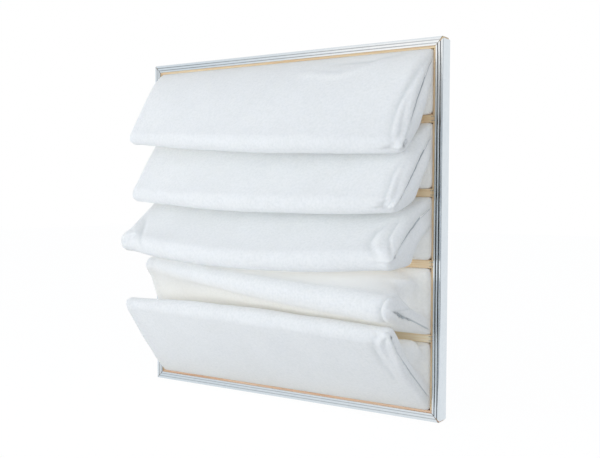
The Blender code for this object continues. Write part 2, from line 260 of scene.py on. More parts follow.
def make_rail(name, length, put, ajar, phase, groove_shade, painted_sheen):
    """One mitred length of channel; put turns (along, depth, inwards) into a place."""
    radii = [BEAD_BEND] * 6 + [BEND, BEND]
    line = np.array(SECTION)
    outline = wall_round(rounded(line, radii), SHEET)
    along = np.linspace(-1, 1, RAIL_STATIONS)
    mesh = bmesh.new()
    deep = mesh.verts.layers.float.new("groove")
    sheen_layer = mesh.verts.layers.float.new("painted_sheen")
    loops = []
    for spot in along:
        loop = []
        for inwards, depth in outline:
            gape = ajar[int(spot > 0)] * max(0, 1 - inwards / GAPE_DEPTH)
            reach = length / 2 - MITRE_GAP - inwards - gape
            run = spot * reach
            wave = math.sin(run * 13 + phase) + 0.4 * math.sin(run * 37 + 2 * phase)
            on_front = max(0.0, 1 - (depth - FRONT) / 0.004) * min(1.0, inwards / 0.004)
            swell = ZINC_SWELL * wave * on_front
            sway = WEB_SWELL * wave * (1 - on_front)
            vert = mesh.verts.new(put(run, depth + swell, inwards + sway))
            # Each vertex gets how dark the painted shade and reflection in its bead is, and how strong the
            # painted sheen on the front flange is.
            bead = (depth - FRONT) / BEAD if inwards > 0.003 and depth < 0 else 0.0
            groove_shade_here = np.interp(run, STRETCHES, groove_shade)
            vert[deep] = min(1.0, max(0.0, 2.4 * (bead - 0.18))) * groove_shade_here
            vert[sheen_layer] = 0.3 + (np.interp(run, STRETCHES, painted_sheen) - 0.3) * on_front
            loop.append(vert)
        loops.append(loop)
    count = len(outline)
    for one, two in zip(loops, loops[1:]):
        for i in range(count):
            j = (i + 1) % count
            mesh.faces.new((one[i], one[j], two[j], two[i]))
    mesh.faces.new(loops[0][::-1])
    mesh.faces.new(loops[-1])
    bmesh.ops.recalc_face_normals(mesh, faces=mesh.faces)
    made = bpy.data.meshes.new(name)
    mesh.to_mesh(made)
    mesh.free()
    made.shade_smooth()
    made.materials.append(zinc)
    rail = bpy.data.objects.new(name, made)
    bpy.context.scene.collection.objects.link(rail)
    edges = rail.modifiers.new("sheet edges", "EDGE_SPLIT")
    edges.split_angle = math.radians(SPLIT_ANGLE)
    return rail


zinc = zinc_material()
# Along each rail, from its low or left end: how dark the painted shade and reflection in the grooves are and
# how strong the painted sheen on the sheet is at these stretches, and how far each mitre gapes at the outer
# corner.
ZINC_SWELL = 0.00008
WEB_SWELL = 0.00005
STRETCHES = (-0.29, -0.2, -0.1, 0.0, 0.06, 0.15, 0.22, 0.29)
RAILS = (
    ("bottom", WIDTH, (0.0, 0.0016), 0.7, (0.4,) * 8, (0.1, 0.1, 0.15, 0.2, 0.2, 0.25, 0.3, 0.4)),
    (
        "top", WIDTH, (0.0008, 0.0018), 2.9, (0.6, 0.6, 0.5, 0.5, 0.5, 0.5, 0.5, 0.4),
        (0.1, 0.1, 0.2, 0.4, 0.6, 0.9, 1.0, 0.9),
    ),
    ("left", HEIGHT, (0.0, 0.0008), 4.1, (0.6,) * 8, (0.3,) * 8),
    (
        "right", HEIGHT, (0.0018, 0.0026), 5.3, (1.0, 1.0, 1.0, 1.0, 1.0, 1.0, 0.6, 0.4),
        (0.2, 0.2, 0.2, 0.2, 0.2, 0.3, 0.8, 1.0),
    ),
)
PLACED = {
    "bottom": lambda run, depth, inwards: (run, depth, inwards),
    "top": lambda run, depth, inwards: (run, depth, HEIGHT - inwards),
    "left": lambda run, depth, inwards: (inwards - WIDTH / 2, depth, HEIGHT / 2 + run),
    "right": lambda run, depth, inwards: (WIDTH / 2 - inwards, depth, HEIGHT / 2 + run),
}
for side, length, ajar, phase, groove_shade, painted_sheen in RAILS:
    rail = make_rail("zinc_rail_" + side, length, PLACED[side], ajar, phase, groove_shade, painted_sheen)
    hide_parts("header_rail_" + side)
    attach(rail, "root")

# The pockets: five sewn bags of white needled felt, 3 mm thick. Each is one length of
# felt folded over at its far end and sewn up both sides, and its mouth is turned out
# over the back of the wood. They are limp, so each hangs in folds of its own.
FELT = 0.003
CLEAR = 0.0003
WOOD_BACK = 0.0083
HEM_ON_BATTEN = 0.012
HEM_ON_BAR = 0.00595
END_ROUND = 0.023
PANEL = 34
ROLL = 14
END = 28
SPAN = 104
HOLD = 0.34
ROLL_FROM = 0.75
OVAL_SOFT = 2.9
OVAL_FLAT = 6.0
OVAL_TIP = 1.55
OVAL_MOUTH = 5.5
OVAL_FADE = 2.5
HEM_BEND = 0.0018
MOUTHS = ((0.4751, 0.575), (0.3618, 0.4626), (0.2516, 0.3493), (0.1360, 0.2391), (0.017, 0.1235))
# Each rib: reach, height and radius of the far roll, then the slopes of both panels.
RIBS = (
    ((0.077, 0.455, 0.015, 57, 30), (0.112, 0.438, 0.018, 50, 25), (0.090, 0.430, 0.0175, 57, 34)),
    ((0.071, 0.354, 0.016, 52, 14), (0.112, 0.343, 0.018, 45, 12), (0.105, 0.342, 0.0165, 50, 15)),
    ((0.097, 0.269, 0.019, 24, -8), (0.132, 0.253, 0.019, 32, 4), (0.116, 0.262, 0.019, 35, 5)),
    ((0.036, 0.220, 0.016, 6, -46), (0.112, 0.207, 0.0195, 3, -26), (0.110, 0.187, 0.023, 10, -18)),
    ((0.091, 0.152, 0.014, -36, -56), (0.122, 0.156, 0.0165, -26, -50), (0.116, 0.146, 0.016, -30, -46)),
)
LEAVE = ((28, 30), (26, 22), (10, 14), (12, -8), (-8, -40))
SEAM = (0.82, 0.78, 0.80, 0.08, 0.20)
# The course of each right-hand end seam: reach in front of the header, and height.
SEAM_COURSES = (
    ((0.0, 0.5587), (0.028, 0.5266), (0.0475, 0.4962), (0.070, 0.4573), (0.092, 0.4263)),
    ((0.0, 0.4410), (0.037, 0.4109), (0.068, 0.3779), (0.097, 0.3481), (0.110, 0.3390)),
    ((0.0, 0.3320), (0.035, 0.3183), (0.075, 0.2945), (0.118, 0.2634)),
    ((0.0, 0.1440), (0.055, 0.1640), (0.1166, 0.1848)),
    ((0.0, 0.0385), (0.062, 0.0870), (0.102, 0.1210), (0.126, 0.1490)),
)


def downhill(degrees):
    """The direction out of the header at a slope below level, in (y, z)."""
    slope = np.radians(degrees)
    return np.stack([-np.cos(slope), -np.sin(slope)], axis=-1)


def rib_halves(row, across):
    """The upper and lower half of the ribs at some places across a pocket."""
    left, middle, right = (np.array(rib, float) for rib in RIBS[row])
    bend = (left + right) / 2 - middle
    a = np.asarray(across, float)[:, None]
    reach, height, radius, fall_over, fall_under = (middle + (right - left) / 2 * a + bend * a * a).T
    low, high = MOUTHS[row]
    centre = np.stack([FRONT - reach, height], axis=1)
    tip = downhill((fall_over + fall_under) / 2)
    halves = []
    for start, leave, fall, side in (
        (high - CLEAR, LEAVE[row][0], fall_over, 1),
        (low + CLEAR, LEAVE[row][1], fall_under, -1),
    ):
        mouth = np.array([FRONT, start])
        run = downhill(fall)
        out = np.stack([run[:, 1], -run[:, 0]], axis=1) * side
        end = centre + out * radius[:, None]
        hold = np.linalg.norm(end - mouth, axis=1)[:, None] * HOLD
        b = mouth + downhill(leave) * hold
        c = end - run * hold
        t = np.linspace(0, 1, PANEL + 1)[None, :, None]
        panel = (
            mouth[None, None] * (1 - t) ** 3
            + b[:, None] * 3 * t * (1 - t) ** 2
            + c[:, None] * 3 * t * t * (1 - t)
            + end[:, None] * t**3
        )
        turn = np.arctan2(out[:, 0] * tip[:, 1] - out[:, 1] * tip[:, 0], (out * tip).sum(1))
        r = turn[:, None] * np.linspace(0, 1, ROLL + 1)[None, 1:]
        c0, s0 = np.cos(r), np.sin(r)
        turned = np.stack(
            [out[:, :1] * c0 - out[:, 1:] * s0, out[:, :1] * s0 + out[:, 1:] * c0], axis=2
        )
        halves.append(np.concatenate([panel, centre[:, None] + turned * radius[:, None, None]], axis=1))
    return halves, centre


def along_shares():
    """How far each point of a half rib is from the mouth, 0 to 1, as the seam counts it."""
    panel = np.linspace(0, ROLL_FROM, PANEL + 1)
    return np.concatenate([panel, np.linspace(ROLL_FROM, 1, ROLL + 1)[1:]])


def end_outline(square, deep):
    """Evenly spaced points round a squarish end: (thickness left, way out to the seam)."""
    angle = np.linspace(0, 1, 600) ** 2 * math.pi / 4
    angle = np.concatenate([angle, (math.pi / 2 - angle[::-1])[1:]])
    thick = np.cos(angle).clip(0) ** (2 / square)
    out = np.sin(angle) ** (2 / square)
    run = np.hypot(np.diff(thick) * max(deep, 0.002), np.diff(out) * END_ROUND)
    far = np.concatenate([[0], np.cumsum(run)])
    spaced = far[-1] * (1 - np.linspace(1, 0, END + 1) ** 1.7)
    return np.interp(spaced, far, thick), np.interp(spaced, far, out), far[-1] - spaced


def seam_course(row, a, centre, share):
    """Points of an end seam, from the mouth to the far roll."""
    low, high = MOUTHS[row]
    if a > 0:
        line = np.array(SEAM_COURSES[row]) * (-1, 1) + (FRONT, 0)
    else:
        line = np.array([[FRONT, low + CLEAR + (high - low - 2 * CLEAR) * SEAM[row]], centre])
    gone = np.concatenate([[0], np.cumsum(np.linalg.norm(np.diff(line, axis=0), axis=1))])
    at = share**0.85 * gone[-1]
    return np.stack([np.interp(at, gone, line[:, 0]), np.interp(at, gone, line[:, 1])], axis=1)


def hem_and_neck(point, row):
    """From the hem's edge behind the wood, round the edge and through to the front."""
    low, high = MOUTHS[row]
    middle = (low + high) / 2
    behind = WOOD_BACK + CLEAR
    over = point[2] > middle
    if over:
        edge = high + (HEM_ON_BATTEN if row == 0 else HEM_ON_BAR)
        start = high - CLEAR
    else:
        edge = low - (HEM_ON_BATTEN if row == 4 else HEM_ON_BAR)
        start = low + CLEAR
    wide = OPENING_HALF - CLEAR
    rise = (point[2] - middle) / (start - middle)
    out = point[0] / wide * (OPENING_HALF + HEM_ON_BATTEN)
    far = np.array([out, behind, middle + rise * (edge - middle)])
    corner = np.array([point[0], behind, point[2]])
    flat = [far + (corner - far) * t for t in (0.0, 0.3, 0.6)]
    turn_in = corner + (far - corner) / np.linalg.norm(far - corner) * HEM_BEND
    turn_out = corner - np.array([0, HEM_BEND, 0])
    bend = [
        turn_in * (1 - t) ** 2 + corner * 2 * t * (1 - t) + turn_out * t * t
        for t in (0, 0.25, 0.5, 0.75, 1)
    ]
    through = [turn_out + (np.array(point) - turn_out) * t for t in (0.35, 0.7)]
    return flat + bend + through


def pocket_skin(row):
    """The outer face of a pocket as a grid of points, seam to seam and hem to hem."""
    share = along_shares()
    wide = OPENING_HALF - CLEAR
    boxy = OVAL_MOUTH * np.maximum(0, 1 - share * 8 / OVAL_FADE) ** 2
    tip = np.clip((share - ROLL_FROM) / (1 - ROLL_FROM), 0, 1)
    soft = OVAL_SOFT + OVAL_TIP * tip + boxy
    flat = OVAL_FLAT - OVAL_TIP * tip + boxy
    squares = (soft, flat) if SEAM[row] > 0.5 else (flat, soft)
    across = np.linspace(-1, 1, SPAN + 1)
    halves, _ = rib_halves(row, across)
    strips = []
    for k, a in enumerate(across):
        x = np.full(len(share), a * (wide - END_ROUND))
        pair = [np.concatenate([x[:, None], half[k]], axis=1) for half in halves]
        strips.append(pair)
    ends = {}
    seam_away = {}
    for a in (-1, 1):
        halves_end, centre = rib_halves(row, [a])
        spine = seam_course(row, a, centre[0], share)
        rings = [[], []]
        aways = [[], []]
        for h, half in enumerate(halves_end):
            for i, point in enumerate(half[0]):
                thick, out, away = end_outline(squares[h][i], np.linalg.norm(point - spine[i]))
                at = spine[i] + (point - spine[i]) * thick[:, None]
                x = a * (wide - END_ROUND * (1 - out))
                rings[h].append(np.concatenate([x[:, None], at], axis=1))
                aways[h].append(away)
        rings = [np.array(r) for r in rings]
        seam_away[a] = [np.array(w) for w in aways]
        ends[a] = [[rings[0][:, e], rings[1][:, e]] for e in range(1, END + 1)]
    order = ends[-1][::-1] + strips + ends[1]
    grid = []
    facts = []
    for k, (over, under) in enumerate(order):
        head = hem_and_neck(over[0], row)
        tail = hem_and_neck(under[0], row)[::-1]
        grid.append(np.concatenate([head, over, under[-2::-1], tail]))
        from_left = k - END
        to_right = k - END - SPAN
        if from_left < 0:
            far = [seam_away[-1][h][:, -from_left] for h in (0, 1)]
        elif to_right > 0:
            far = [seam_away[1][h][:, to_right] for h in (0, 1)]
        else:
            a = 1 if across[from_left] > 0 else -1
            more = (1 - abs(across[from_left])) * (wide - END_ROUND)
            far = [seam_away[a][h][:, 0] + more for h in (0, 1)]
        first = np.full(len(head), far[0][0])
        last = np.full(len(tail), far[1][0])
        away = np.concatenate([first, far[0], far[1][-2::-1], last])
        half = np.concatenate([np.ones(len(head) + len(over) - 1), [0], -np.ones(len(under) - 1 + len(tail))])
        run = np.concatenate([np.zeros(len(head)), share, share[-2::-1], np.zeros(len(tail))])
        facts.append(np.stack([away, half, run], axis=1))
    return np.array(grid), np.array(facts)


def line_distance(points, line):
    """How far each point is from a line, and where along the line that is, 0 to 1."""
    line = np.asarray(line, float)
    best = np.full(len(points), 9.0)
    where = np.zeros(len(points))
    steps = np.linalg.norm(np.diff(line, axis=0), axis=1)
    begin = np.concatenate([[0], np.cumsum(steps)])
    for i, (a, b) in enumerate(zip(line, line[1:])):
        d = b - a
        t = np.clip(((points - a) @ d) / max(d @ d, 1e-12), 0, 1)
        far = np.linalg.norm(points - a - t[:, None] * d, axis=1)
        nearer = far < best
        best = np.where(nearer, far, best)
        where = np.where(nearer, (begin[i] + t * steps[i]) / begin[-1], where)
    return best, where


def places(mesh):
    """A mesh's vertices as an array."""
    flat = np.zeros(len(mesh.vertices) * 3)
    mesh.vertices.foreach_get("co", flat)
    return flat.reshape(-1, 3)


def facing(mesh):
    """A mesh's vertex normals as an array."""
    return np.array([v.normal[:] for v in mesh.vertices])


def press(mesh, amount):
    """Move each vertex out along its normal by its own amount."""
    moved = places(mesh) + facing(mesh) * amount[:, None]
    mesh.vertices.foreach_set("co", moved.ravel())
    mesh.update()


def soft_waves(points, size, seed):
    """Smooth random swells of about that size, from -1 to 1."""
    shift = Vector((seed * 7.3, seed * 3.1, seed * 5.7))
    return np.array([noise.noise(Vector(p) / size + shift) for p in points])


# Rolls and hollows that run beside an end seam: which end, which panel (1 upper, -1
# lower), how far from the seam at the mouth and at the tip, how wide, and how far out
# at the mouth and at the tip (less than nothing is in).
ROLLS = (
    (
        (1, 1, 0.006, 0.013, 0.0070, 0.0012, 0.0034),
        (1, 1, 0.016, 0.030, 0.0090, -0.0016, -0.0042),
        (1, -1, 0.012, 0.012, 0.0100, 0.0018, 0.0006),
        (1, -1, 0.026, 0.022, 0.0180, 0.0070, -0.0020),
    ),
    (
        (1, 1, 0.006, 0.013, 0.0070, 0.0012, 0.0034),
        (1, 1, 0.016, 0.028, 0.0090, -0.0016, -0.0040),
        (1, -1, 0.014, 0.014, 0.0120, 0.0020, 0.0010),
        (1, -1, 0.026, 0.022, 0.0180, 0.0070, -0.0020),
    ),
    (
        (1, 1, 0.010, 0.012, 0.0080, 0.0010, 0.0026),
        (1, -1, 0.014, 0.014, 0.0120, 0.0016, 0.0010),
        (1, -1, 0.026, 0.022, 0.0180, 0.0070, -0.0020),
    ),
    (
        (1, -1, 0.012, 0.012, 0.0080, 0.0004, 0.0014),
    ),
    (
        (1, -1, 0.012, 0.014, 0.0075, 0.0006, 0.0030),
        (1, -1, 0.024, 0.030, 0.0080, -0.0006, -0.0026),
    ),
)
# Corners of the mouth where the cloth draws back inside: which end, which panel, how
# far along that panel, over what share of it, how far from the seam it starts, how far
# in it goes, and how far up.
DRAWN_IN = (
    ((1, -1, 0.10, 0.13, 0.020, 0.014, 0.006), (-1, -1, 0.13, 0.13, 0.020, 0.010, 0.004)),
    ((1, -1, 0.13, 0.15, 0.018, 0.020, 0.010), (-1, -1, 0.13, 0.13, 0.020, 0.010, 0.004)),
    ((1, -1, 0.14, 0.16, 0.018, 0.018, 0.010), (-1, -1, 0.16, 0.16, 0.020, 0.010, 0.004)),
    ((1, 1, 0.24, 0.30, 0.012, 0.028, -0.020),),
    ((1, 1, 0.30, 0.32, 0.007, 0.020, -0.010), (-1, 1, 0.20, 0.20, 0.020, 0.010, 0.0)),
)
# The felt's swells and dimples (height, size), the puckers and the valley beside a seam, its groove (depth,
# width), the width of its darker line, which is thread and painted shade, and how strong the painted shade in
# a crease is.
SWELLS = (0.0016, 0.11)
DIMPLES = (0.0004, 0.03)
PUCKERS = (0.0009, 0.022)
SEAM_VALLEY = (0.0010, 0.0012, 0.006)
SEAM_GROOVE = (0.0008, 0.0016)
SEAM_LINE = 0.0011
CREASE_SHADE = 0.3
# How much painted warm bounce light from the wood each lower panel gets, and how strong the painted glow is
# on the shut-in parts of each upper and lower panel, a stand-in for light that comes through the felt.
WOOD_BOUNCE_UNDER = (0.0, 0.0, 0.0, 0.22, 0.0)
PAINTED_GLOW = ((0.0, 0.0), (0.0, 0.0), (0.0, 0.0), (0.20, 0.04), (0.09, 0.0))
# Other folds: how wide, how far out (less than nothing is in), and the points they run
# through.
FOLDS = (
    (
        (
            0.007, 0.0030, (0.051, -0.048, 0.550), (0.139, -0.060, 0.538), (0.184, -0.048, 0.550),
            (0.226, -0.022, 0.569),
        ),
        (
            0.006, -0.0020, (0.100, -0.030, 0.560), (0.183, -0.035, 0.560), (0.216, -0.028, 0.565),
            (0.247, -0.018, 0.571),
        ),
        (0.0018, -0.0014, (0.280, -0.1125, 0.4282), (0.2786, -0.101, 0.4216)),
        (
            0.0055, -0.0030, (0.277, -0.030, 0.558), (0.2711, -0.0566, 0.530), (0.2597, -0.088, 0.487),
            (0.2585, -0.1057, 0.4565), (0.263, -0.118, 0.4313), (0.2681, -0.115, 0.4171),
        ),
        (
            0.0040, 0.0016, (0.270, -0.070, 0.508), (0.2680, -0.0822, 0.4913), (0.2665, -0.097, 0.4685),
            (0.2715, -0.111, 0.4415), (0.2753, -0.1163, 0.4211),
        ),
    ),
    (
        (0.0016, -0.0013, (0.278, -0.1197, 0.3409), (0.274, -0.1334, 0.3339), (0.2629, -0.1218, 0.3264)),
        (0.0016, -0.0012, (0.2753, -0.127, 0.3453), (0.2661, -0.1308, 0.3367), (0.2616, -0.1254, 0.3279)),
        (0.0016, -0.0011, (0.270, -0.131, 0.3475), (0.259, -0.1325, 0.3375), (0.256, -0.127, 0.329)),
        (
            0.0055, -0.0028, (0.2642, -0.0856, 0.4036), (0.2602, -0.106, 0.3813), (0.262, -0.129, 0.3524),
            (0.2590, -0.130, 0.338), (0.2602, -0.1208, 0.3264),
        ),
        (
            0.0040, 0.0016, (0.2705, -0.0884, 0.3962), (0.2680, -0.1088, 0.374), (0.269, -0.1273, 0.3495),
            (0.266, -0.1279, 0.3352),
        ),
    ),
    (
        (
            0.0060, -0.0034, (0.248, -0.088, 0.3137), (0.2357, -0.111, 0.298), (0.235, -0.130, 0.284),
            (0.250, -0.1456, 0.271), (0.259, -0.147, 0.263),
        ),
        (
            0.0045, 0.0022, (0.256, -0.085, 0.3155), (0.249, -0.115, 0.295), (0.253, -0.134, 0.281),
            (0.264, -0.144, 0.269),
        ),
        (
            0.0035, -0.0024, (0.262, -0.083, 0.317), (0.262, -0.119, 0.2916), (0.2737, -0.135, 0.277),
            (0.2794, -0.140, 0.2646),
        ),
        (0.0120, -0.0050, (-0.252, -0.122, 0.280), (-0.249, -0.130, 0.272)),
        (0.0060, -0.0022, (-0.2615, -0.0753, 0.314), (-0.2355, -0.1124, 0.2885), (-0.2086, -0.1377, 0.259)),
        (0.0060, 0.0020, (-0.2715, -0.080, 0.308), (-0.2455, -0.117, 0.281), (-0.222, -0.140, 0.252)),
    ),
    (
        (
            0.0042, -0.0056, (0.274, -0.109, 0.2050), (0.268, -0.130, 0.2030), (0.2626, -0.142, 0.1914),
            (0.263, -0.140, 0.177), (0.262, -0.112, 0.163),
        ),
        (
            0.0040, 0.0034, (0.276, -0.120, 0.2033), (0.2725, -0.139, 0.200), (0.2700, -0.145, 0.189),
            (0.272, -0.138, 0.175),
        ),
        (0.0070, -0.0014, (0.279, -0.122, 0.182), (0.277, -0.107, 0.1775), (0.2776, -0.092, 0.173)),
        (0.0018, -0.0010, (0.279, -0.131, 0.1836), (0.278, -0.0855, 0.1843), (0.277, -0.060, 0.185)),
        (
            0.0090, 0.0070, (0.232, -0.061, 0.2188), (0.2508, -0.036, 0.2160), (0.262, -0.020, 0.212),
            (0.272, -0.014, 0.208),
        ),
        (
            0.0130, -0.0100, (-0.14, -0.118, 0.176), (0.06, -0.128, 0.168), (0.20, -0.130, 0.162),
            (0.262, -0.120, 0.158), (0.30, -0.09, 0.15),
        ),
    ),
    (
        (
            0.0050, -0.0028, (0.2655, -0.1427, 0.157), (0.2547, -0.1428, 0.1487), (0.2507, -0.143, 0.139),
            (0.246, -0.127, 0.122), (0.248, -0.106, 0.101), (0.2525, -0.071, 0.068),
        ),
        (
            0.0040, 0.0020, (0.270, -0.142, 0.150), (0.262, -0.141, 0.143), (0.260, -0.134, 0.130),
            (0.2615, -0.110, 0.107), (0.265, -0.075, 0.074),
        ),
        (0.0036, -0.0034, (0.276, -0.1445, 0.151), (0.2688, -0.1417, 0.1426), (0.2676, -0.136, 0.1345)),
        (
            0.0090, 0.0070, (0.235, -0.045, 0.122), (0.255, -0.030, 0.114), (0.266, -0.020, 0.106),
            (0.275, -0.013, 0.102),
        ),
    ),
)


def felt_material():
    """White needled polyester: matted fibres and a faint cloudiness, with painted warm bounce light beside
    the wood, seams darkened by thread and painted shade, painted shade in creases, and a painted glow in
    shut-in places.
    """
    made, shader, add = bare_material("needled_felt", 0.95)
    tree = made.node_tree
    place = add("ShaderNodeTexCoord").outputs["Object"]
    fibre = add(
        "ShaderNodeTexNoise",
        {"Vector": place},
        Scale=620.0,
        Detail=4.0,
        Roughness=0.7,
        Distortion=1.2,
    )
    clump = add("ShaderNodeTexNoise", {"Vector": place}, Scale=260.0, Detail=3.0, Roughness=0.6)
    cloud = add("ShaderNodeTexNoise", {"Vector": place}, Scale=14.0, Detail=3.0)
    base = ramp(add, cloud.outputs["Fac"], ((0.3, colour("F3F4F4")), (0.7, colour("F7F8F8"))))
    matted = ramp(add, clump.outputs["Fac"], ((0.3, colour("F6F7F7")), (0.62, colour("FFFFFF"))))
    mixed = add("ShaderNodeMix", {}, data_type="RGBA", blend_type="MULTIPLY")
    tree.links.new(base, mixed.inputs[6])
    tree.links.new(matted, mixed.inputs[7])
    mixed.inputs[0].default_value = 1.0
    # Painted warm bounce light from the wood, near the mouths and on the lower panels.
    wood_bounce = add("ShaderNodeAttribute", attribute_name="painted_wood_bounce").outputs["Fac"]
    bounce_tinted = add("ShaderNodeMix", {}, data_type="RGBA")
    tree.links.new(wood_bounce, bounce_tinted.inputs[0])
    tree.links.new(mixed.outputs[2], bounce_tinted.inputs[6])
    bounce_tinted.inputs[7].default_value = colour("EDE3D0")
    # Seams darkened by thread and painted shade, creases by painted shade.
    seam_thread_and_shade = add("ShaderNodeAttribute", attribute_name="seam_line_and_crease_shade").outputs["Fac"]
    seam_shaded = add("ShaderNodeMix", {}, data_type="RGBA")
    tree.links.new(seam_thread_and_shade, seam_shaded.inputs[0])
    tree.links.new(bounce_tinted.outputs[2], seam_shaded.inputs[6])
    seam_shaded.inputs[7].default_value = colour("B2B9BD")
    tree.links.new(seam_shaded.outputs[2], shader.inputs["Base Color"])
    # A painted glow in shut-in places, which stands in for light through the felt; the felt is no lamp.
    open_air = add("ShaderNodeAmbientOcclusion", Distance=0.05).outputs["AO"]
    shut_in = add("ShaderNodeMath", {1: open_air}, operation="SUBTRACT")
    shut_in.inputs[0].default_value = 1.0
    glow_share = add("ShaderNodeAttribute", attribute_name="painted_glow").outputs["Fac"]
    glow = add("ShaderNodeMath", {0: shut_in.outputs["Value"], 1: glow_share}, operation="MULTIPLY")
    tree.links.new(glow.outputs["Value"], shader.inputs["Emission Strength"])
    shader.inputs["Emission Color"].default_value = colour("F1EDEA")
    height = add("ShaderNodeMath", {0: fibre.outputs["Fac"], 1: clump.outputs["Fac"]}, operation="ADD")
    fuzz = add("ShaderNodeBump", {"Height": height.outputs["Value"]}, Strength=0.35, Distance=0.0006)
    tree.links.new(fuzz.outputs["Normal"], shader.inputs["Normal"])
    shader.inputs["Specular IOR Level"].default_value = 0.15
    shader.inputs["Sheen Weight"].default_value = 0.25
    shader.inputs["Sheen Roughness"].default_value = 0.6
    shader.inputs["Subsurface Weight"].default_value = 0.45
    shader.inputs["Subsurface Radius"].default_value = (1.0, 0.96, 0.88)
    shader.inputs["Subsurface Scale"].default_value = 0.004
    return made


def skin_mesh(row, grid, facts):
    """The pocket's outer face as a mesh, its end seams closed."""
    shape = bmesh.new()
    layers = [shape.verts.layers.float.new(word) for word in ("away", "half", "run")]
    rows = []
    for strip, known in zip(grid, facts):
        verts = []
        for point, values in zip(strip, known):
            vert = shape.verts.new(point)
            for layer, value in zip(layers, values):
                vert[layer] = value
            verts.append(vert)
        rows.append(verts)
    for one, two in zip(rows, rows[1:]):
        for i in range(len(one) - 1):
            shape.faces.new((one[i], two[i], two[i + 1], one[i + 1]))
    bmesh.ops.remove_doubles(shape, verts=shape.verts, dist=1e-6)
    bmesh.ops.dissolve_degenerate(shape, edges=shape.edges, dist=1e-7)
    bmesh.ops.recalc_face_normals(shape, faces=shape.faces)
    made = bpy.data.meshes.new("felt_pocket_%d" % (row + 1))
    shape.to_mesh(made)
    shape.free()
    made.shade_smooth()
    middle = grid[len(grid) // 2]
    nearest = int(np.linalg.norm(places(made) - middle[len(middle) // 4], axis=1).argmin())
    if made.vertices[nearest].normal.z < 0:
        made.flip_normals()
        made.update()
    return made


def fact(mesh, word):
    """One value for each vertex of a mesh."""
    values = np.zeros(len(mesh.vertices))
    mesh.attributes[word].data.foreach_get("value", values)
    return values


def bump(distance, width):
    """A soft bump, 1 in the middle."""
    return np.exp(-(distance / width) ** 2)


def laid_on(mesh, line):
    """A line's points at close steps, brought on to the mesh."""
    tree = BVHTree.FromPolygons([v.co for v in mesh.vertices], [f.vertices for f in mesh.polygons])
    line = np.array(line)
    gone = np.concatenate([[0], np.cumsum(np.linalg.norm(np.diff(line, axis=0), axis=1))])
    at = np.linspace(0, gone[-1], 24)
    spots = np.stack([np.interp(at, gone, line[:, k]) for k in range(3)], axis=1)
    return [tuple(tree.find_nearest(Vector(spot))[0]) for spot in spots]


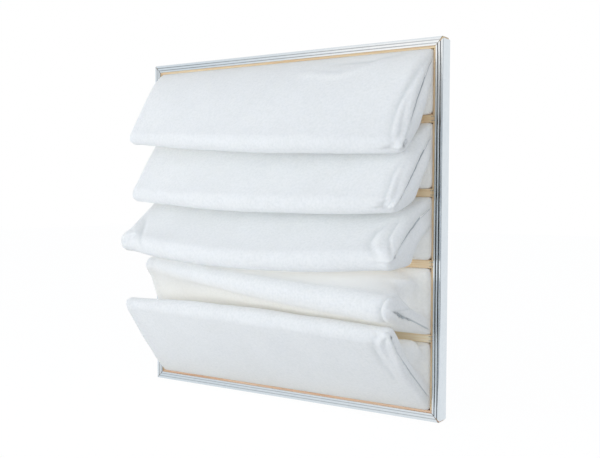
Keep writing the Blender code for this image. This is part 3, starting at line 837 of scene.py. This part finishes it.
def make_pocket(row):
    """One sewn pocket with its own folds, and a wall of felt."""
    mesh = skin_mesh(row, *pocket_skin(row))
    points = places(mesh)
    away, half, run = (fact(mesh, word) for word in ("away", "half", "run"))
    end = np.sign(points[:, 0])
    free = np.clip((FRONT + 0.001 - points[:, 1]) / 0.03, 0, 1)
    sewn_to = np.clip((FRONT - 0.0005 - points[:, 1]) / 0.008, 0, 1)
    far = np.clip((FRONT - points[:, 1]) / 0.09, 0, 1)
    amount = SWELLS[0] * soft_waves(points, SWELLS[1], row + 1) * free
    amount += DIMPLES[0] * soft_waves(points, DIMPLES[1], row + 11) * free
    press(mesh, amount)
    points = places(mesh)
    by_end = np.clip((np.abs(points[:, 0]) - 0.2) / 0.078, 0, 1) ** 2
    for which, panel, spot, spread, start, depth, lift in DRAWN_IN[row]:
        off_seam = np.clip((away - start) / 0.03, 0, 1)
        there = (end == which) * (half * panel > 0) * off_seam**1.5 * by_end * sewn_to
        points[:, 0] -= which * depth * there * bump(run - spot, spread)
        points[:, 2] += lift * there * bump(run - spot, spread)
    mesh.vertices.foreach_set("co", points.ravel())
    mesh.update()
    shallow, deeper, width = SEAM_VALLEY
    amount = -(shallow + deeper * run**2) * bump(away, width) * sewn_to
    pucker = soft_waves(points * np.array([1, 2.4, 2.4]), PUCKERS[1], row + 31)
    amount += PUCKERS[0] * pucker * bump(away, 0.02) * far
    for which, panel, near_mouth, near_tip, width, at_mouth, at_tip in ROLLS[row]:
        height = at_mouth + (at_tip - at_mouth) * run
        gap = away - near_mouth - (near_tip - near_mouth) * run
        amount += height * ((end == which) * (half * panel >= 0)) * bump(gap, width) * free
    press(mesh, amount)
    groove = np.clip((0.985 - run) / 0.12, 0, 1)
    press(mesh, -SEAM_GROOVE[0] * bump(away, SEAM_GROOVE[1]) * sewn_to * groove)
    crease_shade = np.zeros(len(points))
    for width, depth, *line in FOLDS[row]:
        distance, where = line_distance(places(mesh), laid_on(mesh, line))
        fades = np.sin(np.clip(where, 0.02, 0.98) * math.pi) ** 0.5
        press(mesh, depth * fades * bump(distance, width) * sewn_to)
        # Narrow dents also get painted shade in their creases.
        if depth < 0 and width < 0.0075:
            crease_shade = np.maximum(crease_shade, fades * bump(distance, max(0.0012, width * 0.55)))
    points = places(mesh)
    # Painted warm bounce light from the wood: near the mouth and on the chosen lower panels.
    wood_bounce = mesh.attributes.new("painted_wood_bounce", "FLOAT", "POINT")
    bounce_near_wood = np.exp(-np.maximum(0, FRONT + 0.012 - points[:, 1]) / 0.022)
    under = WOOD_BOUNCE_UNDER[row] * (half < 0) * np.clip((0.97 - run) / 0.16, 0, 1) * free
    wood_bounce.data.foreach_set("value", (bounce_near_wood * 0.5 + under).astype(np.float32))
    # Painted glow on the shut-in parts of the chosen panels.
    glow_share = mesh.attributes.new("painted_glow", "FLOAT", "POINT")
    over, under_it = PAINTED_GLOW[row]
    glow_amount = (over * (half > 0) + under_it * (half < 0)) * np.clip((0.9 - run) / 0.25, 0, 1) * free
    glow_share.data.foreach_set("value", glow_amount.astype(np.float32))
    # Seam line: thread and painted shade; creases: painted shade.
    seam_thread_and_shade = mesh.attributes.new("seam_line_and_crease_shade", "FLOAT", "POINT")
    thread_and_shade = bump(away, SEAM_LINE) * sewn_to * (0.4 + 0.6 * groove)
    seam_thread_and_shade.data.foreach_set("value", np.maximum(thread_and_shade, CREASE_SHADE * crease_shade).astype(np.float32))
    for word in ("away", "half", "run"):
        mesh.attributes.remove(mesh.attributes[word])
    mesh.materials.append(felt)
    pocket = bpy.data.objects.new(mesh.name, mesh)
    bpy.context.scene.collection.objects.link(pocket)
    wall = pocket.modifiers.new("felt", "SOLIDIFY")
    wall.thickness = FELT
    wall.offset = -1
    wall.use_rim = True
    wall.thickness_clamp = 1.0
    shown = pocket.evaluated_get(bpy.context.evaluated_depsgraph_get())
    whole = bpy.data.meshes.new_from_object(shown)
    pocket.modifiers.clear()
    pocket.data = whole
    whole.name = mesh.name + "_felt"
    return pocket


felt = felt_material()
for row in range(5):
    pocket = make_pocket(row)
    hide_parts("filter_pocket_%d" % (row + 1))
    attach(pocket, "root")

# The staples: bright round wire bent to a square U and driven home, two over each end
# of a crossbar from the front, and four through the hems behind it.
STAPLE_WIRE = 0.0008
STAPLE_BEND = 0.0006
BAR_CROWN = 0.0054
HEM_CROWN = 0.0080
wire, shader, add = bare_material("staple_steel", 0.32, 1.0)
place = add("ShaderNodeTexCoord").outputs["Object"]
scuffs = add("ShaderNodeTexNoise", {"Vector": place}, Scale=900.0, Detail=3.0)
tone = ramp(add, scuffs.outputs["Fac"], ((0.3, colour("A9A9A4")), (0.7, colour("C9C8C2"))))
wire.node_tree.links.new(tone, shader.inputs["Base Color"])


def staple_tree(finish):
    """A node tree that stands one bent wire staple on each point it is given."""
    tree = bpy.data.node_groups.new("staples", "GeometryNodeTree")
    tree.interface.new_socket("Places", in_out="INPUT", socket_type="NodeSocketGeometry")
    for word in ("Crown", "Leg", "Wire", "Bend"):
        tree.interface.new_socket(word, in_out="INPUT", socket_type="NodeSocketFloat")
    tree.interface.new_socket("Staples", in_out="OUTPUT", socket_type="NodeSocketGeometry")
    given = tree.nodes.new("NodeGroupInput").outputs
    end = tree.nodes.new("NodeGroupOutput").inputs

    def node(kind, links=(), **settings):
        made = tree.nodes.new(kind)
        for key, value in settings.items():
            setattr(made, key, value)
        for socket, source in dict(links).items():
            if hasattr(source, "is_linked"):
                tree.links.new(source, made.inputs[socket])
            else:
                made.inputs[socket].default_value = source
        return made

    def sum_of(way, *values):
        return node("ShaderNodeMath", dict(enumerate(values)), operation=way).outputs[0]

    order = sum_of("DIVIDE", node("GeometryNodeInputIndex").outputs[0], 3.0)
    side = sum_of("SUBTRACT", sum_of("ROUND", order), 0.5)
    is_foot = sum_of("ROUND", sum_of("ABSOLUTE", sum_of("SUBTRACT", order, 0.5)))
    drop = sum_of("MULTIPLY", is_foot, sum_of("MULTIPLY", given["Leg"], -1.0))
    spot = node("ShaderNodeCombineXYZ", {"X": sum_of("MULTIPLY", side, given["Crown"]), "Z": drop})
    four = node("GeometryNodeMeshLine", {"Count": 4})
    bent = node("GeometryNodeSetPosition", {"Geometry": four.outputs[0], "Position": spot.outputs[0]})
    line = node("GeometryNodeMeshToCurve", {"Mesh": bent.outputs[0]})
    eased = node(
        "GeometryNodeFilletCurve",
        {"Curve": line.outputs[0], "Count": 4, "Radius": given["Bend"]},
        mode="POLY",
    )
    half = sum_of("MULTIPLY", given["Wire"], 0.5)
    ring = node("GeometryNodeCurvePrimitiveCircle", {"Resolution": 10, "Radius": half})
    solid = node(
        "GeometryNodeCurveToMesh",
        {"Curve": eased.outputs[0], "Profile Curve": ring.outputs["Curve"], "Fill Caps": True},
    )
    turn = node("GeometryNodeInputNamedAttribute", {"Name": "turn"}, data_type="FLOAT_VECTOR")
    stood = node(
        "GeometryNodeInstanceOnPoints",
        {"Points": given["Places"], "Instance": solid.outputs[0], "Rotation": turn.outputs[0]},
    )
    real = node("GeometryNodeRealizeInstances", {"Geometry": stood.outputs[0]})
    painted = node("GeometryNodeSetMaterial", {"Geometry": real.outputs[0], "Material": finish})
    tree.links.new(painted.outputs[0], end["Staples"])
    return tree


def stand_staples(name, prefix, crown, columns, on_front):
    """One piece with all the staples of a kind, each where its CAD solid is."""
    names = sorted(node for node in frame["nodes"] if node.startswith(prefix))
    spots = []
    for node in names:
        low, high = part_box(node)
        depth = low.y + STAPLE_WIRE / 2 if on_front else high.y - STAPLE_WIRE / 2
        spots.append(((low.x + high.x) / 2, depth, (low.z + high.z) / 2))
    leg = high.y - low.y - STAPLE_WIRE / 2
    points = bpy.data.meshes.new(name + "_places")
    points.from_pydata(spots, [], [])
    turn = Matrix(columns).transposed().to_euler()
    facing_way = points.attributes.new("turn", "FLOAT_VECTOR", "POINT")
    facing_way.data.foreach_set("vector", list(turn) * len(spots))
    group = bpy.data.objects.new(name, points)
    bpy.context.scene.collection.objects.link(group)
    drive = group.modifiers.new("staples", "NODES")
    drive.node_group = staples
    sizes = {"Crown": crown, "Leg": leg, "Wire": STAPLE_WIRE, "Bend": STAPLE_BEND}
    for socket in staples.interface.items_tree:
        if socket.in_out == "INPUT" and socket.name in sizes:
            drive[socket.identifier] = sizes[socket.name]
    shown = group.evaluated_get(bpy.context.evaluated_depsgraph_get())
    whole = bpy.data.meshes.new_from_object(shown)
    group.modifiers.clear()
    group.data = whole
    whole.shade_smooth()
    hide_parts(*names)
    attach(group, "root")


staples = staple_tree(wire)
stand_staples("bar_staples", "bar_staple_", BAR_CROWN, ((1, 0, 0), (0, 0, 1), (0, -1, 0)), True)
stand_staples("hem_staples", "hem_staple_", HEM_CROWN, ((0, 0, 1), (1, 0, 0), (0, 1, 0)), False)

# The studio: a pale floor that keeps a faint shadow, a white surround, and soft lamps.
floor_mesh = bpy.data.meshes.new("studio_floor")
floor_mesh.from_pydata([(-6, -6, 0), (6, -6, 0), (6, 6, 0), (-6, 6, 0)], [], [(0, 1, 2, 3)])
floor = bpy.data.objects.new("studio_floor", floor_mesh)
bpy.context.scene.collection.objects.link(floor)
floor.location.z = -0.0005
floor_paint = bpy.data.materials.new("studio_floor")
floor_paint.use_nodes = True
tree = floor_paint.node_tree
tree.nodes.clear()
seen = tree.nodes.new("ShaderNodeLightPath")
matt = tree.nodes.new("ShaderNodeBsdfDiffuse")
matt.inputs["Color"].default_value = (0.8, 0.8, 0.8, 1)
glow = tree.nodes.new("ShaderNodeEmission")
glow.inputs["Color"].default_value = (1, 1, 1, 1)
glow.inputs["Strength"].default_value = 1.05
share = tree.nodes.new("ShaderNodeMath")
share.operation = "MULTIPLY"
share.inputs[1].default_value = 0.9
mixed = tree.nodes.new("ShaderNodeMixShader")
out = tree.nodes.new("ShaderNodeOutputMaterial")
shiny = tree.nodes.new("ShaderNodeMath")
shiny.operation = "MAXIMUM"
clear = tree.nodes.new("ShaderNodeMath")
clear.operation = "MAXIMUM"
tree.links.new(seen.outputs["Is Camera Ray"], shiny.inputs[0])
tree.links.new(seen.outputs["Is Glossy Ray"], shiny.inputs[1])
tree.links.new(shiny.outputs["Value"], clear.inputs[0])
tree.links.new(seen.outputs["Is Transmission Ray"], clear.inputs[1])
tree.links.new(clear.outputs["Value"], share.inputs[0])
tree.links.new(share.outputs["Value"], mixed.inputs["Fac"])
tree.links.new(matt.outputs["BSDF"], mixed.inputs[1])
tree.links.new(glow.outputs["Emission"], mixed.inputs[2])
tree.links.new(mixed.outputs["Shader"], out.inputs["Surface"])
floor_mesh.materials.append(floor_paint)

# A dark curtain with an apron on the floor behind the camera, which only the bright
# metal mirrors.
curtain_mesh = bpy.data.meshes.new("curtain")
curtain_mesh.from_pydata(
    [
        (1.1, -2.9, 0.004),
        (2.9, -1.7, 0.004),
        (2.9, -1.7, 1.4),
        (1.1, -2.9, 1.4),
        (1.6, -0.4, 0.004),
        (0.5, -0.8, 0.004),
    ],
    [],
    [(0, 1, 2, 3), (0, 5, 4, 1)],
)
curtain = bpy.data.objects.new("curtain", curtain_mesh)
bpy.context.scene.collection.objects.link(curtain)
drape, shader, add = bare_material("curtain", 1.0)
shader.inputs["Base Color"].default_value = (0.02, 0.022, 0.025, 1)
curtain_mesh.materials.append(drape)
curtain.visible_camera = False
curtain.visible_diffuse = False
curtain.visible_shadow = False

world = bpy.data.worlds.new("studio")
bpy.context.scene.world = world
world.use_nodes = True
tree = world.node_tree
tree.nodes.clear()
path = tree.nodes.new("ShaderNodeLightPath")
either = tree.nodes.new("ShaderNodeMath")
either.operation = "MAXIMUM"
third = tree.nodes.new("ShaderNodeMath")
third.operation = "MAXIMUM"
around = tree.nodes.new("ShaderNodeBackground")
around.inputs["Color"].default_value = (0.9, 0.945, 1.0, 1)
around.inputs["Strength"].default_value = 0.645
white = tree.nodes.new("ShaderNodeBackground")
white.inputs["Color"].default_value = (1, 1, 1, 1)
white.inputs["Strength"].default_value = 1.0
mixed = tree.nodes.new("ShaderNodeMixShader")
out = tree.nodes.new("ShaderNodeOutputWorld")
tree.links.new(path.outputs["Is Camera Ray"], either.inputs[0])
tree.links.new(path.outputs["Is Glossy Ray"], either.inputs[1])
tree.links.new(either.outputs["Value"], third.inputs[0])
tree.links.new(path.outputs["Is Transmission Ray"], third.inputs[1])
tree.links.new(third.outputs["Value"], mixed.inputs["Fac"])
tree.links.new(around.outputs["Background"], mixed.inputs[1])
tree.links.new(white.outputs["Background"], mixed.inputs[2])
tree.links.new(mixed.outputs["Shader"], out.inputs["Surface"])


def lamp(name, place, aim, wide, high, power, tone):
    """A soft box lamp."""
    light = bpy.data.lights.new(name, "AREA")
    light.shape = "RECTANGLE"
    light.size = wide
    light.size_y = high
    light.energy = power
    light.color = tone
    made = bpy.data.objects.new(name, light)
    bpy.context.scene.collection.objects.link(made)
    made.location = place
    made.rotation_euler = (Vector(aim) - Vector(place)).to_track_quat("-Z", "Y").to_euler()
    made.visible_glossy = False


lamp("key", (-1.45, -2.35, 0.42), (0, 0, 0.3), 2.2, 0.78, 23.0, (0.96, 0.98, 1.0))
lamp("low", (0.2, -2.3, 0.1), (0, 0, 0.2), 2.4, 0.3, 6, (0.96, 0.98, 1.0))
lamp("fill", (1.9, -1.6, 0.9), (0, 0, 0.3), 1.2, 1.2, 6, (0.95, 0.98, 1.0))

# The camera stands to the right of the pockets, a little above the middle.
camera = bpy.data.cameras.new("camera")
camera.sensor_width = 36
camera.lens = 52.79
camera.shift_y = 0.024
eye = bpy.data.objects.new("camera", camera)
bpy.context.scene.collection.objects.link(eye)
turn, dip, tilt = (math.radians(a) for a in (34.23, 3.37, 0.11))
ahead = Vector((-math.sin(turn) * math.cos(dip), math.cos(turn) * math.cos(dip), -math.sin(dip)))
sideways = Vector((math.cos(turn), math.sin(turn), 0))
upward = sideways.cross(ahead)
level = Matrix((sideways, upward, -ahead)).transposed()
stand = Matrix.Translation((0.872, -1.2425, 0.357))
eye.matrix_world = stand @ level.to_4x4() @ Matrix.Rotation(tilt, 4, "Z")
bpy.context.scene.camera = eye
bpy.context.scene.view_settings.view_transform = "Standard"
bpy.context.scene.cycles.max_bounces = 16
bpy.context.scene.cycles.diffuse_bounces = 14
